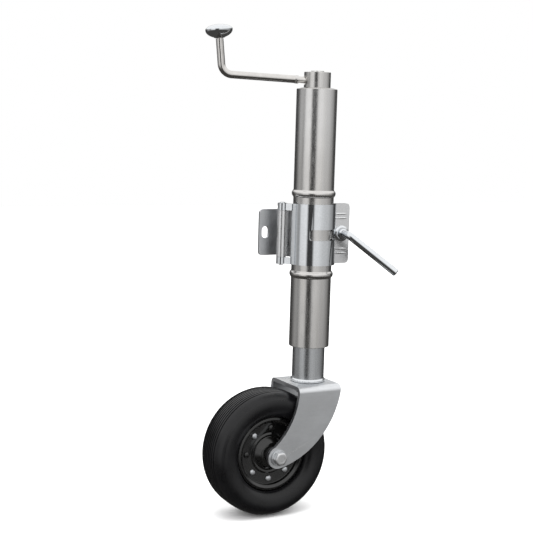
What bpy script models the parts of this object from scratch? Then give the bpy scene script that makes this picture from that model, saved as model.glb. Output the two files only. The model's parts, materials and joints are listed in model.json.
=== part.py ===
"""Trailer tongue jack: a 60 mm clamp, a telescopic mast wound by a top crank, and a swivelling wheel.

Metres, +Z up, +X the direction of travel. The origin is the middle of the clamp's back face, which
bolts to the drawbar. The wheel trails towards -X, the axle runs along Y.
"""
import math

import bmesh
import bpy
from mathutils import Matrix, Vector

MM = 0.001
GAP = 0.3 * MM
SIDES = 32                         # facets round the mast's pieces
SMALL_SIDES = 16                   # facets round pins, bores and washers

# Places
CLAMP_HEIGHT = 417.1 * MM          # the clamp's middle above the ground
TUBE_Y = -38.7 * MM                # the mast's axis, in front of the clamp's back face
WHEEL_R = 93.7 * MM
TRAIL = 71.2 * MM                  # the axle's distance behind the mast's axis

# Mast
TUBE_R = 30 * MM
TUBE_BORE_R = 27 * MM
TUBE_BOTTOM = 248.5 * MM
TUBE_TOP = 628.6 * MM
BEAD_HEIGHTS = (357.3 * MM, 476.9 * MM)
BEAD_R = 32.5 * MM
CAP_TOP = 629.1 * MM               # the flat that the hub turns on
CAP_RIM_TOP = 631.6 * MM           # the cone round the hub
CAP_SPIGOT_BOTTOM = 610.2 * MM

# Crank
HUB_R = 19.6 * MM
HUB_BOTTOM = CAP_TOP + GAP
HUB_TOP = 654.4 * MM
SPINDLE_R = 8 * MM
SPINDLE_BOTTOM = 308.2 * MM
RACE_R = 20 * MM
ARM_HEIGHT = 641.6 * MM
ARM_R = 5.25 * MM
ARM_LENGTH = 141.7 * MM
ARM_BEND_R = 16 * MM
ARM_HEADING = math.radians(163.44)
ARM_RISE = math.radians(2.1)
STEM_LEAN = math.radians(5.6)
KNOB_BOTTOM = 50.8 * MM            # along the stem, from the arm's corner
KNOB_TOP = 70.3 * MM
KNOB_R = 20.3 * MM

# Column
INNER_R = 24.15 * MM
INNER_BORE_R = 21.15 * MM
INNER_TOP = 506.2 * MM
GUIDE_R = 26.65 * MM
KINGPIN_R = 13 * MM

# Fork
PLATE_TOP = 194.5 * MM
PLATE_THICK = 6 * MM
PLATE_REAR_X = -38.2 * MM
PLATE_FRONT_X = 32.9 * MM
FORK_HALF = 44 * MM
FORK_BEND_R = 9 * MM
FORK_END_R = 16.5 * MM

# Wheel
AXLE_R = 6 * MM
WASHER_THICK = 2 * MM
HUB_TUBE_R = 13 * MM
HUB_TUBE_BORE_R = 10.2 * MM
HUB_TUBE_HALF = 30 * MM
RIVET_COUNT = 8
RIVET_CIRCLE_R = 38.5 * MM
RIVET_R = 3 * MM
RIVET_START = math.radians(43)

# Clamp
BASE_HALF_W = 71 * MM
BASE_HALF_H = 34.5 * MM
BASE_THICK = 4 * MM
SLOT_X = 61 * MM
SLOT_W = 11.5 * MM
SLOT_H = 18 * MM
SADDLE_R = 30.35 * MM
CLAMP_THICK = 4 * MM
JAW_HALF_H = 45 * MM
PARTING = 3 * MM                   # each jaw's distance from the plane through the mast's axis
HINGE_X = -46 * MM
HINGE_Y = TUBE_Y + PARTING + 8.5 * MM
KNUCKLE_R = 7 * MM
HINGE_PIN_R = 4 * MM
SCREW_X = 46 * MM
SCREW_R = 5 * MM
SCREW_TIP_Y = TUBE_Y + PARTING + 17 * MM
LEVER_R = 5.75 * MM
LEVER_LENGTH = 92 * MM
LEVER_DROP = math.radians(41.5)
LEVER_OUT = math.radians(25)

AXLE = Vector((-TRAIL, TUBE_Y, WHEEL_R - CLAMP_HEIGHT))

COLOURS = {
    "stainless": ((0.62, 0.60, 0.57), 0.28, 1.0),
    "polished": ((0.72, 0.72, 0.72), 0.10, 1.0),
    "zinc": ((0.55, 0.58, 0.61), 0.38, 1.0),
    "tube_zinc": ((0.50, 0.52, 0.54), 0.30, 1.0),
    "black_paint": ((0.012, 0.012, 0.013), 0.22, 0.0),
    "rubber": ((0.018, 0.018, 0.019), 0.60, 0.0),
    "bronze": ((0.55, 0.36, 0.16), 0.35, 1.0),
    "nylon": ((0.75, 0.74, 0.70), 0.45, 0.0),
}


def clear_scene():
    for obj in list(bpy.data.objects):
        bpy.data.objects.remove(obj, do_unlink=True)


def material_for(name, finish):
    colour, roughness, metallic = COLOURS[finish]
    material = bpy.data.materials.new(name + "_" + finish)
    material.use_nodes = True
    shader = material.node_tree.nodes["Principled BSDF"]
    shader.inputs["Base Color"].default_value = (*colour, 1.0)
    shader.inputs["Roughness"].default_value = roughness
    shader.inputs["Metallic"].default_value = metallic
    return material


def add_empty(name, place):
    empty = bpy.data.objects.new(name, None)
    empty.location = place
    empty.empty_display_size = 0.03
    bpy.context.scene.collection.objects.link(empty)
    return empty


def add_object(name, bm, finish=None, pivot=None):
    """Store a mesh made in world metres, with its origin on its pivot empty."""
    bmesh.ops.remove_doubles(bm, verts=bm.verts, dist=1e-7)
    bmesh.ops.recalc_face_normals(bm, faces=bm.faces)
    if pivot:
        bmesh.ops.translate(bm, verts=bm.verts, vec=-pivot.location)
    mesh = bpy.data.meshes.new(name)
    bm.to_mesh(mesh)
    bm.free()
    obj = bpy.data.objects.new(name, mesh)
    bpy.context.scene.collection.objects.link(obj)
    if pivot:
        obj.parent = pivot
    if finish:
        mesh.materials.append(material_for(name, finish))
        mesh.shade_smooth()
        mesh.set_sharp_from_angle(angle=math.radians(32))
    else:
        obj.hide_render = True
        obj.display_type = "WIRE"
    return obj


def boolean(target, operand, operation="DIFFERENCE"):
    modifier = target.modifiers.new(operand.name, "BOOLEAN")
    modifier.operation = operation
    modifier.object = operand


# Shapes, each made in world metres

def above_ground(x, y, height):
    """A point in the mast's own frame: x and y from its axis, height above the ground."""
    return Vector((x, TUBE_Y + y, height - CLAMP_HEIGHT))


MAST_FRAME = Matrix.Translation(above_ground(0, 0, 0))
AXLE_FRAME = Matrix.Translation(AXLE) @ Matrix.Rotation(math.radians(-90), 4, "X")


def frame_along(place, direction):
    """A frame at place whose Z runs along direction."""
    turn = Vector((0, 0, 1)).rotation_difference(direction)
    return Matrix.Translation(place) @ turn.to_matrix().to_4x4()


def turned(profile, frame, segments=SIDES, closed=True):
    """Spin a profile of (radius, height) points round the frame's Z. An open one starts and ends on it."""
    bm = bmesh.new()
    verts = [bm.verts.new((r, 0, z)) for r, z in profile]
    pairs = list(zip(verts, verts[1:]))
    if closed:
        pairs.append((verts[-1], verts[0]))
    edges = [bm.edges.new(pair) for pair in pairs]
    bmesh.ops.spin(bm, geom=verts + edges, cent=(0, 0, 0), axis=(0, 0, 1), angle=math.tau,
                   steps=segments, use_merge=True)
    bmesh.ops.transform(bm, matrix=frame, verts=bm.verts)
    return bm


def ring(inner, outer, low, high, frame, segments=SIDES, chamfer=0.0):
    """A tube, washer or collar, with its outer edges chamfered."""
    profile = [(inner, low), (outer - chamfer, low), (outer, low + chamfer),
               (outer, high - chamfer), (outer - chamfer, high), (inner, high)]
    if not chamfer:
        profile = [(inner, low), (outer, low), (outer, high), (inner, high)]
    return turned(profile, frame, segments)


def cylinder(radius, low, high, frame, segments=SMALL_SIDES, chamfer=0.0):
    profile = [(0, low), (radius - chamfer, low), (radius, low + chamfer),
               (radius, high - chamfer), (radius - chamfer, high), (0, high)]
    if not chamfer:
        profile = [(0, low), (radius, low), (radius, high), (0, high)]
    return turned(profile, frame, segments, closed=False)


def prism(outline, low, high, frame):
    """Extrude an outline of (x, y) points in the frame's XY plane from low to high."""
    bm = bmesh.new()
    face = bm.faces.new([bm.verts.new((x, y, low)) for x, y in outline])
    grown = bmesh.ops.extrude_face_region(bm, geom=[face])
    top = [v for v in grown["geom"] if isinstance(v, bmesh.types.BMVert)]
    bmesh.ops.translate(bm, verts=top, vec=(0, 0, high - low))
    bmesh.ops.transform(bm, matrix=frame, verts=bm.verts)
    return bm


def merge(*pieces):
    """Put several separate meshes in one, for a cutter."""
    bm = bmesh.new()
    for piece in pieces:
        mesh = bpy.data.meshes.new("piece")
        piece.to_mesh(mesh)
        piece.free()
        bm.from_mesh(mesh)
        bpy.data.meshes.remove(mesh)
    return bm


UPRIGHT = Matrix.Identity(4)
FROM_FRONT = Matrix(((1, 0, 0, 0), (0, 0, -1, 0), (0, 1, 0, 0), (0, 0, 0, 1)))   # XY drawn in XZ, Z towards -Y


def arc(centre, radius, start, end, steps):
    """Points on a circle, angles in degrees."""
    angles = [math.radians(start + (end - start) * i / steps) for i in range(steps + 1)]
    return [(centre[0] + radius * math.cos(a), centre[1] + radius * math.sin(a)) for a in angles]


def arc_through(first, middle, last, steps):
    """Points on the circle through three points."""
    (ax, ay), (bx, by), (cx, cy) = first, middle, last
    d = 2 * (ax * (by - cy) + bx * (cy - ay) + cx * (ay - by))
    a2, b2, c2 = ax * ax + ay * ay, bx * bx + by * by, cx * cx + cy * cy
    ux = (a2 * (by - cy) + b2 * (cy - ay) + c2 * (ay - by)) / d
    uy = (a2 * (cx - bx) + b2 * (ax - cx) + c2 * (bx - ax)) / d
    radius = math.hypot(ax - ux, ay - uy)
    start = math.degrees(math.atan2(ay - uy, ax - ux))
    sweep = (math.degrees(math.atan2(cy - uy, cx - ux)) - start + 180) % 360 - 180
    return arc((ux, uy), radius, start, start + sweep, steps)


def rounded_box(x0, y0, x1, y1, radius, steps=4):
    """A rectangle with round corners; radius may be one number or four, from the low corner round."""
    radii = radius if isinstance(radius, tuple) else (radius,) * 4
    corners = ((x0, y0, 180, 1, 1), (x1, y0, 270, -1, 1), (x1, y1, 0, -1, -1), (x0, y1, 90, 1, -1))
    points = []
    for (x, y, start, sx, sy), r in zip(corners, radii):
        if r:
            points += arc((x + sx * r, y + sy * r), r, start, start + 90, steps)
        else:
            points.append((x, y))
    return points


def hexagon(across_flats):
    return arc((0, 0), across_flats / 2 / math.cos(math.radians(30)), 0, 300, 5)


def swept(stations, sides=12):
    """A round rod through stations of (point, radius), with flat ends."""
    bm = bmesh.new()
    rings = []
    normal = None
    for i, (point, radius) in enumerate(stations):
        before = stations[max(i - 1, 0)][0]
        after = stations[min(i + 1, len(stations) - 1)][0]
        along = (after - before).normalized()
        if normal is None:
            normal = along.orthogonal()
        normal = (normal - along * normal.dot(along)).normalized()
        across = along.cross(normal)
        rings.append([bm.verts.new(point + radius * (math.cos(t) * normal + math.sin(t) * across))
                      for t in (math.tau * k / sides for k in range(sides))])
    for low, high in zip(rings, rings[1:]):
        for k in range(sides):
            bm.faces.new((low[k], low[(k + 1) % sides], high[(k + 1) % sides], high[k]))
    bm.faces.new(rings[0])
    bm.faces.new(rings[-1])
    return bm


def bend(corner, into, out, radius, steps=8):
    """Points round a bend of the given radius between two straight directions."""
    turn = math.acos(into.dot(out))
    start = corner - into * radius * math.tan(turn / 2)
    side = (out - into * into.dot(out)).normalized()
    return [start + radius * (into * math.sin(a) + side * (1 - math.cos(a)))
            for a in (turn * i / steps for i in range(steps + 1))]


# Clamp

def clamp_base_plate(pivot):
    outline = rounded_box(-BASE_HALF_W, -BASE_HALF_H, BASE_HALF_W, BASE_HALF_H, 6 * MM)
    plate = add_object("clamp_base_plate", prism(outline, 0, BASE_THICK, FROM_FRONT), "zinc", pivot)
    slots = []
    for side in (-1, 1):
        x = side * SLOT_X
        slot = rounded_box(x - SLOT_W / 2, -SLOT_H / 2, x + SLOT_W / 2, SLOT_H / 2, SLOT_W / 2, 6)
        slots.append(prism(slot, -BASE_THICK, 2 * BASE_THICK, FROM_FRONT))
    boolean(plate, add_object("slot_cutter", merge(*slots)))


def saddle_outline(start, end, steps=16):
    """The bent sheet round the mast, as an outline between two angles in degrees."""
    centre = (0, TUBE_Y)
    inner = arc(centre, SADDLE_R, start, end, steps)
    outer = arc(centre, SADDLE_R + CLAMP_THICK, end, start, steps)
    return inner + outer


def screw_frame():
    """Z runs out of the clamp along the screw, towards -Y."""
    return frame_along(Vector((SCREW_X, TUBE_Y, 0)), Vector((0, -1, 0)))


def clamp_rear_jaw(pivot):
    z0, z1 = -BASE_HALF_H, BASE_HALF_H
    front = TUBE_Y + PARTING
    foot = -BASE_THICK - GAP
    jaw = add_object("clamp_rear_jaw", prism(saddle_outline(6, 174), z0, z1, UPRIGHT), "zinc", pivot)
    hinge = Matrix.Translation((HINGE_X, HINGE_Y, 0))
    flange = [(31 * MM, front), (60 * MM, front), (60 * MM, front + CLAMP_THICK), (31 * MM, front + CLAMP_THICK)]
    link = [(-45 * MM, HINGE_Y - 3 * MM), (-31.6 * MM, HINGE_Y - 5 * MM), (-30.6 * MM, HINGE_Y),
            (-45 * MM, HINGE_Y + 3 * MM)]
    guides = [("rear_flange", prism(flange, z0, z1, UPRIGHT)),
              ("rear_knuckle", cylinder(KNUCKLE_R, z0, z1, hinge)),
              ("rear_link", prism(link, z0 + 0.4 * MM, z1 - 0.4 * MM, UPRIGHT))]
    for side in (-1, 1):
        cradle = [(side * 6 * MM, foot), (side * 20 * MM, foot), (side * 21 * MM, foot - 9 * MM),
                  (side * 6 * MM, foot - 2.5 * MM)]
        guides.append((f"cradle_{side}", prism(cradle, z0 + 1 * MM, z1 - 1 * MM, UPRIGHT)))
    for name, bm in guides:
        boolean(jaw, add_object(name + "_guide", bm), "UNION")
    boolean(jaw, add_object("rear_pin_cutter", cylinder(HINGE_PIN_R + GAP, 2 * z0, 2 * z1, hinge)))
    boolean(jaw, add_object("rear_screw_cutter",
                            cylinder(SCREW_R + 1 * MM, -10 * MM, 2 * MM, screw_frame())))


def clamp_weld_nut(pivot):
    back = PARTING + CLAMP_THICK + GAP
    nut = prism(hexagon(19 * MM), -back - 10 * MM, -back, screw_frame())
    obj = add_object("clamp_weld_nut", nut, "zinc", pivot)
    boolean(obj, add_object("nut_thread_cutter",
                            cylinder(SCREW_R + 0.7 * MM, -30 * MM, 0, screw_frame())))


def clamp_hinge_pin(pivot):
    pin = cylinder(HINGE_PIN_R, -JAW_HALF_H - 1.5 * MM, JAW_HALF_H + 1.5 * MM,
                   Matrix.Translation((HINGE_X, HINGE_Y, 0)), 24, 0.8 * MM)
    add_object("clamp_hinge_pin", pin, "polished", pivot)


def clamp_front_jaw(pivot):
    z0, z1 = -JAW_HALF_H, JAW_HALF_H
    back = TUBE_Y - PARTING
    jaw = add_object("clamp_front_jaw", prism(saddle_outline(186, 354), z0, z1, UPRIGHT),
                     "polished", pivot)
    flange = rounded_box(31 * MM, z0, 60 * MM, z1, (0, 7 * MM, 7 * MM, 0))
    strip = [(-38 * MM, back), (-31 * MM, back), (-31 * MM, back - CLAMP_THICK), (-38 * MM, back - CLAMP_THICK)]
    boolean(jaw, add_object("flange_guide", prism(flange, -back, -back + CLAMP_THICK, FROM_FRONT)), "UNION")
    boolean(jaw, add_object("strip_guide", prism(strip, z0 + 0.5 * MM, z1 - 0.5 * MM, UPRIGHT)), "UNION")
    arm = [(-33 * MM, back), (-33 * MM, back - CLAMP_THICK), (-44 * MM, HINGE_Y - 6.6 * MM),
           (-47 * MM, HINGE_Y - 4 * MM), (-44 * MM, HINGE_Y - 1 * MM)]
    hinge = Matrix.Translation((HINGE_X, HINGE_Y, 0))
    low = BASE_HALF_H + GAP
    for name, a, b in (("lower", -JAW_HALF_H, -low), ("upper", low, JAW_HALF_H)):
        boolean(jaw, add_object(name + "_arm_guide", prism(arm, a + 0.2 * MM, b - 0.2 * MM, UPRIGHT)), "UNION")
        boolean(jaw, add_object(name + "_knuckle_guide", cylinder(KNUCKLE_R, a, b, hinge)), "UNION")
    boolean(jaw, add_object("front_pin_cutter", cylinder(HINGE_PIN_R + GAP, 2 * z0, 2 * z1, hinge)))
    window = rounded_box(-21 * MM, -8 * MM, 21 * MM, 8 * MM, 4 * MM)
    boolean(jaw, add_object("window_cutter", prism(window, -TUBE_Y + 10 * MM, 90 * MM, FROM_FRONT)))
    boolean(jaw, add_object("front_screw_cutter",
                            cylinder(SCREW_R + 0.8 * MM, 1 * MM, 12 * MM, screw_frame())))


def clamp_washer(pivot):
    seat = PARTING + CLAMP_THICK + GAP
    profile = [(SCREW_R + 0.6 * MM, seat + 1.4 * MM), (9 * MM, seat + 1.2 * MM), (11.8 * MM, seat),
               (12 * MM, seat + 1.2 * MM), (9.4 * MM, seat + 2.8 * MM), (SCREW_R + 0.6 * MM, seat + 3.2 * MM)]
    add_object("clamp_washer", turned(profile, screw_frame()), "polished", pivot)


def clamp_lever(pivot):
    """One rod: the clamping screw, a forged shoulder, a bend and the handle."""
    out = Vector((0, -1, 0))
    handle = Vector((math.cos(LEVER_DROP) * math.cos(LEVER_OUT), -math.sin(LEVER_OUT),
                     -math.sin(LEVER_DROP) * math.cos(LEVER_OUT)))
    corner = Vector((SCREW_X, TUBE_Y - 27 * MM, 0))
    shoulder = TUBE_Y - (PARTING + CLAMP_THICK + 3.9 * MM)
    stations = [(Vector((SCREW_X, SCREW_TIP_Y, 0)), SCREW_R - 0.8 * MM),
                (Vector((SCREW_X, SCREW_TIP_Y - 1 * MM, 0)), SCREW_R),
                (Vector((SCREW_X, shoulder, 0)), SCREW_R),
                (Vector((SCREW_X, shoulder - 0.1 * MM, 0)), 7.5 * MM),
                (Vector((SCREW_X, shoulder - 3 * MM, 0)), 7.5 * MM),
                (Vector((SCREW_X, shoulder - 4 * MM, 0)), LEVER_R)]
    stations += [(point, LEVER_R) for point in bend(corner, out, handle, 11 * MM)]
    stations += [(corner + handle * (LEVER_LENGTH - 1 * MM), LEVER_R),
                 (corner + handle * LEVER_LENGTH, LEVER_R - 0.8 * MM)]
    add_object("clamp_lever", swept(stations), "polished", pivot)


# Mast

def outer_tube(pivot):
    profile = [(TUBE_BORE_R, TUBE_BOTTOM), (TUBE_R - 0.6 * MM, TUBE_BOTTOM), (TUBE_R, TUBE_BOTTOM + 0.6 * MM)]
    for height in BEAD_HEIGHTS:
        profile += [(TUBE_R, height - 5 * MM), (TUBE_R + 1.6 * MM, height - 4 * MM),
                    (BEAD_R, height - 2 * MM), (BEAD_R, height + 2 * MM),
                    (TUBE_R + 1.6 * MM, height + 4 * MM), (TUBE_R, height + 5 * MM)]
    profile += [(TUBE_R, TUBE_TOP), (TUBE_BORE_R, TUBE_TOP)]
    add_object("outer_tube", turned(profile, MAST_FRAME), "stainless", pivot)


def top_cap(pivot):
    bore = SPINDLE_R + 1 * MM
    profile = [(bore, CAP_SPIGOT_BOTTOM), (TUBE_BORE_R - 0.4 * MM, CAP_SPIGOT_BOTTOM),
               (TUBE_BORE_R - 0.4 * MM, TUBE_TOP + GAP), (TUBE_R - 0.1 * MM, TUBE_TOP + GAP),
               (TUBE_R - 0.1 * MM, TUBE_TOP + 1.3 * MM), (HUB_R + 1.6 * MM, CAP_RIM_TOP),
               (HUB_R + 0.7 * MM, CAP_RIM_TOP), (HUB_R + 0.7 * MM, CAP_TOP), (bore, CAP_TOP)]
    add_object("top_cap", turned(profile, MAST_FRAME), "stainless", pivot)


def guide_bush(pivot):
    bush = ring(INNER_R + 0.35 * MM, GUIDE_R, TUBE_BOTTOM + 0.7 * MM, TUBE_BOTTOM + 40 * MM, MAST_FRAME)
    add_object("guide_bush", bush, "nylon", pivot)


RACE_HEIGHTS = {"thrust_race_lower": (599 * MM, 602.5 * MM), "thrust_ball_cage": (602.8 * MM, 606.1 * MM),
                "thrust_race_upper": (606.4 * MM, 609.9 * MM)}


def thrust_bearing_part(name, pivot):
    low, high = RACE_HEIGHTS[name]
    add_object(name, ring(SPINDLE_R + 1 * MM, RACE_R, low, high, MAST_FRAME, 24, 0.6 * MM), "polished", pivot)


def thrust_ball_cage(pivot):
    low, high = RACE_HEIGHTS["thrust_ball_cage"]
    middle = (low + high) / 2
    ball_r = (high - low) / 2
    cage = add_object("thrust_ball_cage", ring(11 * MM, 18 * MM, middle - 0.7 * MM, middle + 0.7 * MM,
                                               MAST_FRAME, 24), "bronze", pivot)
    balls = []
    for i in range(8):
        angle = math.tau * (i + 0.5) / 8
        bm = bmesh.new()
        bmesh.ops.create_uvsphere(bm, u_segments=6, v_segments=6, radius=ball_r)
        place = above_ground(14.5 * MM * math.cos(angle), 14.5 * MM * math.sin(angle), middle)
        bmesh.ops.translate(bm, verts=bm.verts, vec=place)
        balls.append(bm)
    boolean(cage, add_object("ball_guide", merge(*balls)), "UNION")


# Crank

def arm_direction():
    level = math.cos(ARM_RISE)
    return Vector((level * math.cos(ARM_HEADING), level * math.sin(ARM_HEADING), math.sin(ARM_RISE)))


def stem_direction():
    lean = math.sin(STEM_LEAN)
    return Vector((lean * math.cos(ARM_HEADING), lean * math.sin(ARM_HEADING), math.cos(STEM_LEAN)))


def arm_corner():
    return above_ground(0, 0, ARM_HEIGHT) + arm_direction() * ARM_LENGTH


def arm_frame():
    return frame_along(above_ground(0, 0, ARM_HEIGHT), arm_direction())


def stem_frame():
    return frame_along(arm_corner(), stem_direction())


def spindle(pivot):
    collar = 592.2 * MM
    profile = [(0, SPINDLE_BOTTOM), (SPINDLE_R - 1 * MM, SPINDLE_BOTTOM), (SPINDLE_R, SPINDLE_BOTTOM + 1 * MM),
               (SPINDLE_R, collar), (14 * MM, collar), (14 * MM, RACE_HEIGHTS["thrust_race_lower"][0] - GAP),
               (SPINDLE_R, RACE_HEIGHTS["thrust_race_lower"][0] - GAP), (SPINDLE_R, HUB_TOP), (0, HUB_TOP)]
    rod = add_object("spindle", turned(profile, MAST_FRAME, 24, closed=False), "zinc", pivot)
    pins = merge(cylinder(2.8 * MM, -30 * MM, 30 * MM, arm_frame()),
                 cylinder(2.3 * MM, -20 * MM, 20 * MM, stop_pin_frame()))
    boolean(rod, add_object("spindle_pin_cutter", pins))


def stop_pin_frame():
    return frame_along(above_ground(0, 0, SPINDLE_BOTTOM + 5.5 * MM), Vector((1, 0, 0)))


def spindle_stop(pivot):
    pin = cylinder(2 * MM, -11 * MM, 11 * MM, stop_pin_frame(), 16, 0.4 * MM)
    add_object("spindle_stop_pin", pin, "zinc", pivot)
    low = SPINDLE_BOTTOM + 8 * MM
    washer = ring(SPINDLE_R + GAP, 13 * MM, low, low + 3 * MM, MAST_FRAME, 20)
    add_object("spindle_stop_washer", washer, "zinc", pivot)


def crank_hub(pivot):
    bore = SPINDLE_R + GAP
    profile = [(bore, HUB_BOTTOM), (HUB_R - 0.5 * MM, HUB_BOTTOM), (HUB_R, HUB_BOTTOM + 0.5 * MM),
               (HUB_R, HUB_TOP - 0.8 * MM), (HUB_R - 0.8 * MM, HUB_TOP), (bore, HUB_TOP)]
    hub = add_object("crank_hub", turned(profile, MAST_FRAME), "stainless", pivot)
    boolean(hub, add_object("hub_arm_cutter", cylinder(ARM_R + GAP, 5 * MM, 40 * MM, arm_frame())))
    boolean(hub, add_object("hub_pin_cutter", cylinder(2.8 * MM, -40 * MM, -5 * MM, arm_frame())))


def hub_pieces(pivot):
    pin = cylinder(2.5 * MM, -19.2 * MM, 7.5 * MM, arm_frame(), 20, 0.4 * MM)
    add_object("hub_cross_pin", pin, "zinc", pivot)
    disc = cylinder(9.5 * MM, HUB_TOP + GAP, HUB_TOP + 1.8 * MM, MAST_FRAME, 24, 0.4 * MM)
    add_object("hub_top_disc", disc, "stainless", pivot)


def crank_arm(pivot):
    """A bent rod from the hub to the knob, turned down where the knob spins."""
    into, up = arm_direction(), stem_direction()
    corner = arm_corner()
    stations = [(above_ground(0, 0, ARM_HEIGHT) + into * 8.7 * MM, ARM_R)]
    stations += [(point, ARM_R) for point in bend(corner, into, up, ARM_BEND_R)]
    steps = ((50.2, 5.25), (50.3, 4.0), (58.3, 4.0), (58.35, 3.2), (59.65, 3.2), (59.7, 4.0),
             (65.2, 4.0), (65.7, 3.5))
    stations += [(corner + up * distance * MM, radius * MM) for distance, radius in steps]
    add_object("crank_arm", swept(stations), "stainless", pivot)
    ferrule = ring(ARM_R + GAP, ARM_R + 0.9 * MM, 29 * MM, 33 * MM, arm_frame(), 20, 0.3 * MM)
    add_object("arm_ferrule", ferrule, "stainless", pivot)
    clip = ring(3.5 * MM, 5.1 * MM, 58.5 * MM, 59.5 * MM, stem_frame(), 16)
    add_object("knob_snap_ring", clip, "zinc", pivot)


def knob(pivot):
    bore = 4.4 * MM
    profile = [(0, KNOB_TOP), (6 * MM, KNOB_TOP - 0.3 * MM), (12 * MM, KNOB_TOP - 1.3 * MM),
               (16.6 * MM, KNOB_TOP - 3 * MM), (19.3 * MM, KNOB_TOP - 5.2 * MM), (KNOB_R, KNOB_TOP - 7.4 * MM),
               (19.8 * MM, KNOB_TOP - 9.4 * MM), (17.6 * MM, KNOB_TOP - 12.2 * MM),
               (13 * MM, KNOB_TOP - 15.8 * MM), (8.6 * MM, KNOB_BOTTOM + 1.2 * MM), (6.4 * MM, KNOB_BOTTOM),
               (bore, KNOB_BOTTOM), (bore, 58 * MM), (5.6 * MM, 58 * MM), (5.6 * MM, 60 * MM),
               (bore, 60 * MM), (bore, 66.3 * MM), (0, 66.3 * MM)]
    add_object("knob", turned(profile, stem_frame(), 24, closed=False), "polished", pivot)


# Column

def inner_tube(pivot):
    tube = ring(INNER_BORE_R, INNER_R, PLATE_TOP + 4.4 * MM, INNER_TOP, MAST_FRAME)
    add_object("inner_tube", tube, "tube_zinc", pivot)
    guide = ring(INNER_R + GAP, GUIDE_R, INNER_TOP - 38 * MM, INNER_TOP - 8 * MM, MAST_FRAME)
    add_object("upper_guide_ring", guide, "nylon", pivot)


def spindle_nut(pivot):
    bore = SPINDLE_R + GAP
    profile = [(bore, INNER_TOP - 24 * MM), (INNER_BORE_R - 0.4 * MM, INNER_TOP - 24 * MM),
               (INNER_BORE_R - 0.4 * MM, INNER_TOP + GAP), (INNER_R, INNER_TOP + GAP),
               (INNER_R, INNER_TOP + 3 * MM), (bore, INNER_TOP + 3 * MM)]
    add_object("spindle_nut", turned(profile, MAST_FRAME, 32), "bronze", pivot)


def swivel_parts(pivot):
    """The kingpin plug under the inner tube, and the washer and nut that hold the fork on it."""
    base = PLATE_TOP + 0.4 * MM
    flange_r = 25.8 * MM
    spigot_r = INNER_BORE_R - 0.4 * MM
    bottom = PLATE_TOP - 19.8 * MM
    profile = [(0, bottom), (KINGPIN_R - 1 * MM, bottom), (KINGPIN_R, bottom + 1 * MM), (KINGPIN_R, base),
               (flange_r - 0.8 * MM, base), (flange_r, base + 1 * MM), (flange_r, base + 2.6 * MM),
               (flange_r - 1 * MM, base + 3.7 * MM), (spigot_r, base + 3.7 * MM),
               (spigot_r, base + 27 * MM), (0, base + 27 * MM)]
    add_object("swivel_plug", turned(profile, MAST_FRAME, SIDES, closed=False), "polished", pivot)
    washer_top = PLATE_TOP - PLATE_THICK - GAP
    washer = ring(KINGPIN_R + GAP, 19.5 * MM, washer_top - 2.1 * MM, washer_top, MAST_FRAME, 28)
    add_object("swivel_washer", washer, "polished", pivot)
    nut_top = washer_top - 2.4 * MM
    nut = add_object("swivel_nut", prism(hexagon(32 * MM), nut_top - 9.4 * MM, nut_top, MAST_FRAME),
                     "polished", pivot)
    boolean(nut, add_object("kingpin_thread_cutter",
                            cylinder(KINGPIN_R + GAP, bottom - 10 * MM, base, MAST_FRAME)))


# Fork

def leg_outline():
    """The fork seen from the side: x from the mast's axis, height above the ground."""
    rear = arc_through((PLATE_REAR_X, 186.2 * MM), (-50 * MM, 143.5 * MM), (-77.1 * MM, 109.2 * MM), 10)
    end = arc((-TRAIL, WHEEL_R), FORK_END_R, 112, 283, 14)
    front = arc_through((-67.2 * MM, 77.6 * MM), (5.8 * MM, 124.2 * MM), (PLATE_FRONT_X, 188.2 * MM), 16)
    top = PLATE_TOP + 1 * MM
    return [(PLATE_REAR_X, top)] + rear + end[1:-1] + front + [(PLATE_FRONT_X, top)]


def fork(pivot):
    """A U bent from one plate; its sides are cut to the leg's outline."""
    half, inner = FORK_HALF, FORK_HALF - PLATE_THICK
    inner_r = FORK_BEND_R - PLATE_THICK
    low, top = 60 * MM, PLATE_TOP
    outline = [(half, low)] + arc((half - FORK_BEND_R, top - FORK_BEND_R), FORK_BEND_R, 0, 90, 6)
    outline += arc((-half + FORK_BEND_R, top - FORK_BEND_R), FORK_BEND_R, 90, 180, 6)
    outline += [(-half, low), (-inner, low)]
    outline += arc((-half + FORK_BEND_R, top - FORK_BEND_R), inner_r, 180, 90, 4)
    outline += arc((half - FORK_BEND_R, top - FORK_BEND_R), inner_r, 90, 0, 4) + [(inner, low)]
    along_x = MAST_FRAME @ Matrix(((0, 0, 1, 0), (1, 0, 0, 0), (0, 1, 0, 0), (0, 0, 0, 1)))
    plate = add_object("fork", prism(outline, -110 * MM, 50 * MM, along_x), "zinc", pivot)
    side = add_object("leg_guide", prism(leg_outline(), -60 * MM, 60 * MM, MAST_FRAME @ FROM_FRONT))
    boolean(plate, side, "INTERSECT")
    boolean(plate, add_object("kingpin_cutter", cylinder(KINGPIN_R + GAP, 150 * MM, 220 * MM, MAST_FRAME)))
    boolean(plate, add_object("axle_cutter", cylinder(AXLE_R + 0.4 * MM, -60 * MM, 60 * MM, AXLE_FRAME)))


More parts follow.
